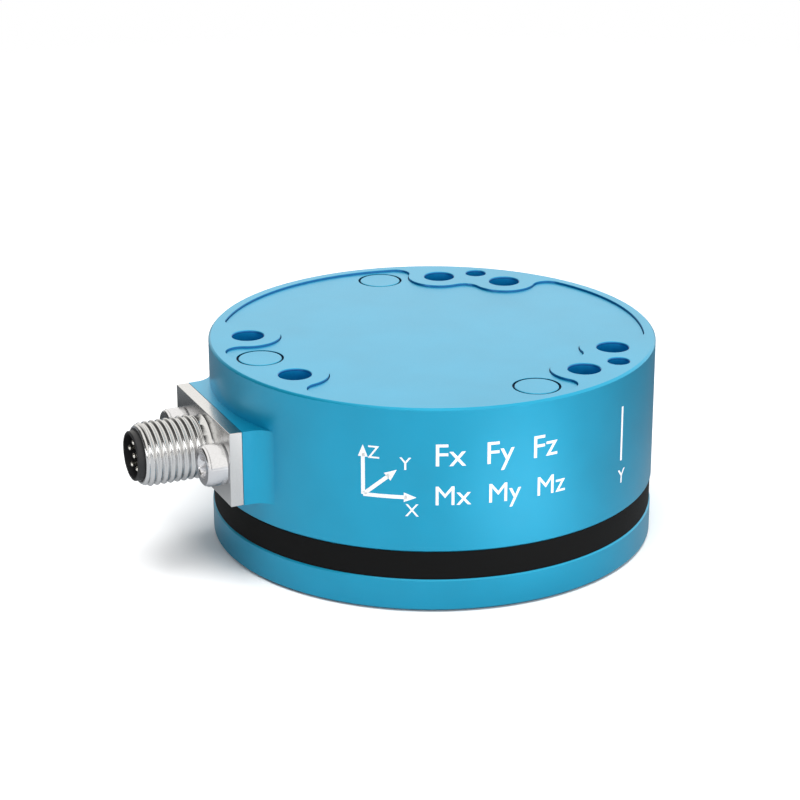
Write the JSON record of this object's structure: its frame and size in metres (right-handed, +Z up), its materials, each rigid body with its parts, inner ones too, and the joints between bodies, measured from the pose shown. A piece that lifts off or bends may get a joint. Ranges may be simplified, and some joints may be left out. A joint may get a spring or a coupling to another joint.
{
  "type": "force torque sensor",
  "caption": "Round six-axis force torque sensor with a recessed lobed cover, threaded mounting holes, a black seal band and a side connector.",
  "frame": {"origin": "centre of the base flange's bottom face, on the body's axis", "axes": "+Z up along the body's axis towards the top mounting face, -X along the connector"},
  "size_m": [0.1032, 0.085, 0.0387],
  "materials": {
    "anodised_blue": "anodised, fine blasted satin",
    "cover_blue": "anodised, fine blasted satin",
    "plug_blue": "anodised, fine blasted satin",
    "seal_black": "matte moulded",
    "gasket_black": "matte",
    "element_metal": "fine machined",
    "screw_steel": "plain",
    "pin_steel": "ground",
    "nickel": "bright nickel plate",
    "bright_screw": "bright zinc plate",
    "insert_black": "fine moulded",
    "contact_gold": "gold plate",
    "gauge_foil": "foil on film",
    "circuit_film": "film",
    "board_green": "solder mask",
    "chip_black": "moulded",
    "socket_white": "moulded",
    "header_black": "moulded",
    "wire_white": "insulated wire"
  },
  "bodies": {
    "root": {"housing": "anodised_blue", "cover_plate": "cover_blue", "cover_gasket": "gasket_black", "cover_plugs": "plug_blue", "cover_screws": "screw_steel", "seal_band": "seal_black", "base_flange": "anodised_blue", "strain_element": "element_metal", "strain_gauges": "gauge_foil", "gauge_circuit": "circuit_film", "overload_pins": "pin_steel", "rim_screws": "screw_steel", "rim_pins": "pin_steel", "hub_screws": "screw_steel", "hub_pins": "pin_steel", "connector_shell": "nickel", "connector_insert": "insert_black", "contact_pins": "contact_gold", "connector_seal": "gasket_black", "flange_screws": "bright_screw", "connector_leads": "wire_white", "lead_plug": "socket_white", "lead_socket": "socket_white", "tail_socket": "socket_white", "bridge_board": "board_green", "bridge_chips": "chip_black", "deck_standoffs": "screw_steel", "interface_board": "board_green", "interface_chips": "chip_black", "board_spacers": "screw_steel", "board_screws": "screw_steel", "board_header": "header_black"}
  },
  "joints": []
}
